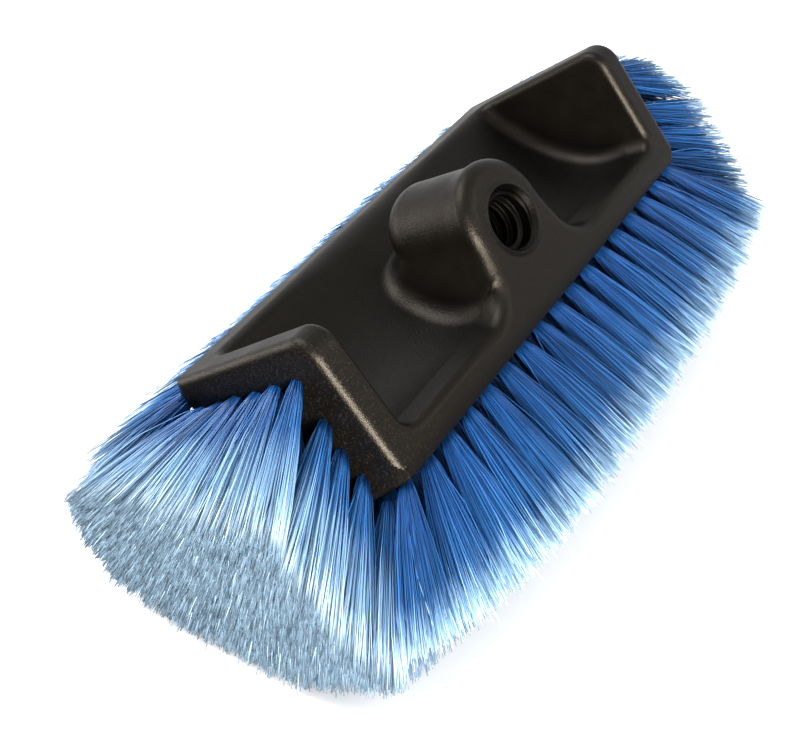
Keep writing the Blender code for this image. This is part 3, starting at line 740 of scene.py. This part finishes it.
def growRow(name, tufts, way, length, along, across, nodes, seed, look):
    # a row whose tips share the pitch between them, with small wisps that lean and shine alike
    generator = np.random.default_rng(seed)
    perTuft = int(look["perTuft"] * (1))
    count = len(tufts) * perTuft
    wisps = tuftForm["wisps"]
    centre = np.repeat(tufts, perTuft, 0)
    a, c = inHole(generator, count)
    rootOffset = (np.outer(a, along) + np.outer(c, across)) * tuftForm["holeRadius"]
    wisp = np.repeat(np.arange(len(tufts)), perTuft) * wisps + np.arange(count) % wisps
    wispA, wispC = generator.normal(0, tuftForm["wispSpread"], (2, len(tufts) * wisps))
    source = centre + np.outer(a * tuftForm["pitch"] * tuftForm["tipShare"] + wispA[wisp], along)
    aim = way(source)
    aim /= np.linalg.norm(aim, axis=1, keepdims=True)
    middleAim = way(centre)
    middleAim /= np.linalg.norm(middleAim, axis=1, keepdims=True)
    middleTip = centre + middleAim * length(centre, middleAim)[:, None]
    sideways = c * look["spread"] + wispC[wisp] * tuftForm["wispLean"]
    tip = source + aim * length(source, aim)[:, None] + np.outer(sideways, across)
    alike = generator.random(len(tufts) * wisps)[wisp]
    tint = tuftForm["wispTint"] * alike + (1 - tuftForm["wispTint"]) * generator.random(count)
    # the row's shade darkens its filaments' colour as painted shade
    growFilaments(name, centre, rootOffset, middleTip, tip, tint * look["shade"], nodes, generator, look)


def makeSideRows():
    # rearward or frontward and down, swinging out towards the ends with the square of the distance
    land = np.array([0.0, halfWidth, blockForm["rim"] - blockForm["rimLand"]])
    foot = np.array([0.0, halfWidth - blockForm["skirtRun"], blockForm["underside"]])
    slope = (foot - land) / np.linalg.norm(foot - land)
    xAxis = np.array([1.0, 0, 0])
    reach = xAxis * tuftForm["pitch"] * (tuftForm["sideTufts"] - 1) / 2
    for label, side, seed in (("front", -1, 11), ("rear", 1, 21)):
        flip = np.array([1, side, 1])
        for level in ("Upper", "Lower"):
            look = {**sideForm[label + level], **sideForm["shared"]}
            middle = (land + slope * look["inset"]) * flip
            drop = math.radians(look["drop"])

            def way(root):
                # the aim of a filament rooted there
                share = np.clip(root[:, 0] / halfLength, -tuftForm["yawReach"], tuftForm["yawReach"])
                most = np.where(share < 0, tuftForm["leftYaw"], tuftForm["rightYaw"])
                yaw = np.radians(most) * share * np.abs(share)
                ahead = np.full(len(root), side * math.cos(drop))
                down = np.full(len(root), -math.sin(drop))
                return np.stack([math.cos(drop) * np.tan(yaw), ahead, down], 1)

            def length(root, aim):
                # the far end's tufts are a little shorter
                share = np.clip(root[:, 0] / halfLength, 0, 1)
                return look["trim"] * (1 - look["farTrim"] * share**2)

            growRow(
                f"{label}Side{level}Bristles",
                tuftRow(middle - reach, middle + reach, tuftForm["sideTufts"]),
                way,
                length,
                xAxis,
                slope * flip,
                [f"{label}_side_{level.lower()}_tufts"],
                seed + len(level),
                look,
            )


def endTufts(end):
    # each end row's title, node, tufts and drop: two rows follow the gable's slopes, and level rows fill
    # the face under them
    form = endForm
    face = ridgePoint + np.array([end * halfLength, 0, 0])
    rearStart = face - upFront * form["rearInset"] + intoSocket * form["rearFrom"]
    rearRow = tuftRow(rearStart, rearStart + intoSocket * form["rearRun"], form["rearTufts"])
    inward, back, up = form["rearCorner"]
    rearRow[-1] += np.array([-end * inward, back, up])
    frontRow = np.array([(face[0], y, z) for y, z in form["frontGable"]])
    rows = [
        ("RearGable", "rear_gable", rearRow, form["gableDrop"]),
        ("FrontGable", "front_gable", frontRow, form["gableDrop"]),
    ]
    for number, (count, drop) in enumerate(zip(form["innerTufts"], form["innerDrops"])):
        middle, height = np.array(form["innerPlace"]) + np.array(form["innerStep"]) * number
        half = form["innerPitch"] * (count - 1) / 2
        tufts = tuftRow((face[0], middle - half, height), (face[0], middle + half, height), count)
        rows.append((f"Inner{number + 1}", f"inner_{number + 1}", tufts, drop))
    return rows


def insideOutline(y, z, outline):
    # a point is inside where a line from it crosses the outline an odd number of times
    inside = np.zeros(len(y), dtype=bool)
    for (y0, z0), (y1, z1) in zip(outline, outline[1:] + outline[:1]):
        spans = (z0 > z) != (z1 > z)
        inside ^= spans & (y < y0 + (z - z0) * (y1 - y0) / (z1 - z0 if z1 != z0 else 1))
    return inside


def makeEndRows(label, end, seed):
    # tips fill the trimmed face evenly and gather into clumps, and each belongs to the tuft that aims
    # nearest to it
    form = endForm
    generator = np.random.default_rng(seed)
    total = int(form["filaments"] * (1))
    outline = form[label]
    low, high = np.min(outline, 0), np.max(outline, 0)
    places = low + generator.random((form["tries"] * total, 2)) * (high - low)
    places = places[insideOutline(places[:, 0], places[:, 1], outline)][:total]
    blurred = places + generator.normal(0, form["clumpBlur"], places.shape)
    cell = np.floor(blurred / form["clumpSize"]).astype(int)
    columns = form["clumpColumns"]
    clump = (cell[:, 0] + columns // 2) * columns + cell[:, 1] + columns // 4
    drift = generator.normal(0, form["clumpDrift"], (columns**2, 2))[clump]
    places = places + (drift + (cell + 0.5) * form["clumpSize"] - places) * form["clumpPull"]
    depth = generator.normal(0, form["clumpDepth"], columns**2)[clump]
    depth = depth + generator.normal(0, form["filamentDepth"], len(places))
    # clumps share a brightness through the tint: painted shade and light that mottle the trimmed face
    alike = generator.random(columns**2)[clump]
    tint = form["clumpTint"] * alike + (1 - form["clumpTint"]) * generator.random(len(places))
    rows = endTufts(end)
    centres = np.concatenate([tufts for _, _, tufts, _ in rows])
    drops = np.concatenate([np.full(len(tufts), drop) for _, _, tufts, drop in rows])
    rowOf = np.concatenate([np.full(len(tufts), k) for k, (_, _, tufts, _) in enumerate(rows)])
    throw = form["tipPlane"] - halfLength
    yaw = np.radians(form["yaw"]) * (centres[:, 1] - form["fanCentre"]) / halfWidth
    aimedY = np.clip(centres[:, 1] + throw * np.tan(yaw), *form["aimReach"])
    aimed = np.stack([aimedY, centres[:, 2] - throw * np.tan(np.radians(drops))], 1)
    aimed[rowOf == 1] = form["frontAims"]  # the front gable's tufts are aimed one by one
    gap = np.hypot(places[:, :1] - aimed[None, :, 0], places[:, 1:] - aimed[None, :, 1])
    owner = gap.argmin(1)
    middles = np.stack([np.bincount(owner, places[:, k], len(centres)) for k in (0, 1)], 1)
    middles /= np.maximum(np.bincount(owner, minlength=len(centres)), 1)[:, None]
    offset = places - middles[owner]
    size = np.hypot(offset[:, 0], offset[:, 1])
    largest = np.full(len(centres), 1e-6)
    np.maximum.at(largest, owner, size)
    rootOffset = offset / largest[owner][:, None] * tuftForm["holeRadius"]
    rootOffset = rootOffset + generator.normal(0, tuftForm["rootBlur"], rootOffset.shape)
    plane = end * (form["tipPlane"] + depth)
    for k, (title, node, _, _) in enumerate(rows):
        mine = rowOf[owner] == k
        flat = np.zeros(mine.sum())
        centre = centres[owner[mine]]
        middleTip = np.stack([flat + end * form["tipPlane"], *middles[owner[mine]].T], 1)
        growFilaments(
            f"{label}End{title}Bristles",
            centre,
            np.stack([flat, *rootOffset[mine].T], 1),
            middleTip,
            np.stack([plane[mine], *places[mine].T], 1),
            tint[mine],
            [f"{label}_end_{node}_tufts"],
            generator,
            form[label + "Look"],
        )


# Rows on the flat underside, in millimetres and degrees
undersideForm = {
    "rows": 5,
    "rowPitch": 11.5,
    "tufts": 15,
    "reach": 83.3,
    "widest": 23.0,
    "leanAlong": 36.0,
    "leanAcross": 22.0,
    "clearance": 0.3,
    "perTuft": 125,
    "spread": 6.3,
    "shade": 1.0,
    "rag": 0.012,
    "paling": 1.3,
    "lastAlong": 1.0,
    "width": 0.3,
    "steps": (0, 0.30, 0.65, 1),
    "seed": 51,
}


def makeUndersideRows():
    # downward, leaning out along the block with the square of the distance and across it evenly
    form = undersideForm
    reach, height = form["reach"], blockForm["underside"]
    leanAlong = math.tan(math.radians(form["leanAlong"]))
    leanAcross = math.tan(math.radians(form["leanAcross"]))

    def way(root):
        # the aim of a filament rooted there
        share = root[:, 0] / reach
        across = leanAcross * root[:, 1] / form["widest"]
        return np.stack([leanAlong * share * np.abs(share), across, -np.ones(len(root))], 1)

    def length(root, aim):
        # down to the floor
        return (root[:, 2] - form["clearance"]) / -aim[:, 2]

    for number in range(form["rows"]):
        y = form["rowPitch"] * (number - (form["rows"] - 1) / 2)
        growRow(
            f"undersideRow{number + 1}Bristles",
            tuftRow((-reach, y, height), (reach, y, height), form["tufts"]),
            way,
            length,
            np.array([1.0, 0, 0]),
            np.array([0, 1.0, 0]),
            [f"underside_row_{number + 1}_tufts"],
            form["seed"] + number,
            form,
        )


blockPiece = makeBlock()
makeSocketThread()
makeSideRows()
makeEndRows("left", -1, 31)
makeEndRows("right", 1, 41)
makeUndersideRows()

# Camera, from the fit to the photograph's straight edges: place and nearest in metres, lens and sensor
# in millimetres
cameraForm = {
    "place": (-0.29105, -0.20019, 0.3298),
    "right": (0.54063, -0.83492, -0.10305),
    "down": (-0.59955, -0.29647, -0.7434),
    "lens": 52.79,
    "sensor": 36,
    "nearest": 0.01,
}


def makeCamera():
    # the camera's own axes, right, up and back, set as the columns of its matrix
    right = np.array(cameraForm["right"])
    right /= np.linalg.norm(right)
    up = -np.array(cameraForm["down"])
    up -= right * up.dot(right)
    up /= np.linalg.norm(up)
    back = np.cross(right, up)
    data = bpy.data.cameras.new("viewCamera")
    data.lens = cameraForm["lens"]
    data.sensor_width = cameraForm["sensor"]
    data.sensor_fit = "HORIZONTAL"
    data.clip_start = cameraForm["nearest"]
    camera = bpy.data.objects.new("viewCamera", data)
    camera.matrix_world = Matrix(
        [[right[k], up[k], back[k], cameraForm["place"][k]] for k in range(3)] + [[0, 0, 0, 1]]
    )
    bpy.context.scene.collection.objects.link(camera)
    bpy.context.scene.camera = camera


# Each light's place, target, size, power and colour, and the pieces that it falls on, or none for all
lightForms = {
    "keyLight": ((-0.15, 0.7, 0.95), (0, 0, 0.08), (0.6, 0.6), 20, (1, 1, 1), ()),
    "frontLight": ((0.35, -0.9, 0.8), (0, 0, 0.06), (0.5, 0.5), 6, (1, 1, 1), ()),
    "edgeLight": ((-0.75, -0.68, 0.16), (-0.05, 0, 0.09), (0.16, 0.16), 14, (1, 1, 1), ()),
    "lineLight": (
        (-0.75, -0.68, 0.16), (-0.05, 0, 0.09), (0.45, 0.45), 80, (1, 0.95, 0.85), (blockPiece,),
    ),
    "rearLight": (
        (-0.35, 1.0, 0.12), (0, 0, 0.09), (0.5, 0.3), 5.5, (1, 0.92, 0.82), (blockPiece,),
    ),
}


def makeLight(name, place, target, size, power, colour, receivers):
    # a rectangle of light that faces its target, with its upper edge level
    data = bpy.data.lights.new(name, "AREA")
    data.shape = "RECTANGLE"
    data.size, data.size_y = size
    data.energy = power
    data.color = colour
    light = bpy.data.objects.new(name, data)
    away = np.array(place) - np.array(target)
    away = away / np.linalg.norm(away)
    side = np.cross([0, 0, 1.0], away)
    side /= np.linalg.norm(side)
    up = np.cross(away, side)
    light.matrix_world = Matrix([[side[k], up[k], away[k], place[k]] for k in range(3)] + [[0, 0, 0, 1]])
    bpy.context.scene.collection.objects.link(light)
    if receivers:
        group = bpy.data.collections.new(name + "Receivers")
        for piece in receivers:
            group.objects.link(piece)
        light.light_linking.receiver_collection = group


# The floor, and the room's brightness: a ramp over a direction's share along one way
roomForm = {
    "floorHalf": 3.0,
    "floorColour": (0.93, 0.93, 0.93, 1),
    "floorRoughness": 0.9,
    "brightWay": (0.42, 0.12, 0.90),
    "darkUpTo": -0.45,
    "brightFrom": 0.25,
    "dark": 0.02,
    "bright": 1.0,
    "strength": 1.25,
}


def makeFloor():
    # white and unseen in reflections, so that the dark plastic reflects the dark half of the room
    material, tree, shader = newMaterial("paleFloor")
    shader.inputs["Base Color"].default_value = roomForm["floorColour"]
    shader.inputs["Roughness"].default_value = roomForm["floorRoughness"]
    mesh = bpy.data.meshes.new("floor")
    half = roomForm["floorHalf"]
    corners = [(-half, -half, 0), (half, -half, 0), (half, half, 0), (-half, half, 0)]
    mesh.from_pydata(corners, [], [(0, 1, 2, 3)])
    mesh.materials.append(material)
    floor = bpy.data.objects.new("floor", mesh)
    floor.visible_glossy = False
    bpy.context.scene.collection.objects.link(floor)


def makeWorld():
    # bright above and behind, dark to the left and below
    world = bpy.data.worlds.new("paleRoom")
    world.use_nodes = True
    tree = world.node_tree
    background = tree.nodes["Background"]
    place = tree.nodes.new("ShaderNodeTexCoord")
    share = tree.nodes.new("ShaderNodeVectorMath")
    share.operation = "DOT_PRODUCT"
    share.inputs[1].default_value = roomForm["brightWay"]
    ramp = tree.nodes.new("ShaderNodeMapRange")
    ramp.inputs["From Min"].default_value = roomForm["darkUpTo"]
    ramp.inputs["From Max"].default_value = roomForm["brightFrom"]
    ramp.inputs["To Min"].default_value = roomForm["dark"]
    ramp.inputs["To Max"].default_value = roomForm["bright"]
    tree.links.new(place.outputs["Generated"], share.inputs[0])
    tree.links.new(share.outputs["Value"], ramp.inputs["Value"])
    tree.links.new(ramp.outputs["Result"], background.inputs["Color"])
    background.inputs["Strength"].default_value = roomForm["strength"]
    bpy.context.scene.world = world


makeCamera()
makeWorld()
makeFloor()
for lightName, values in lightForms.items():
    makeLight(lightName, *values)
bpy.context.scene.view_settings.view_transform = "Standard"
print("camera, lights and floor")
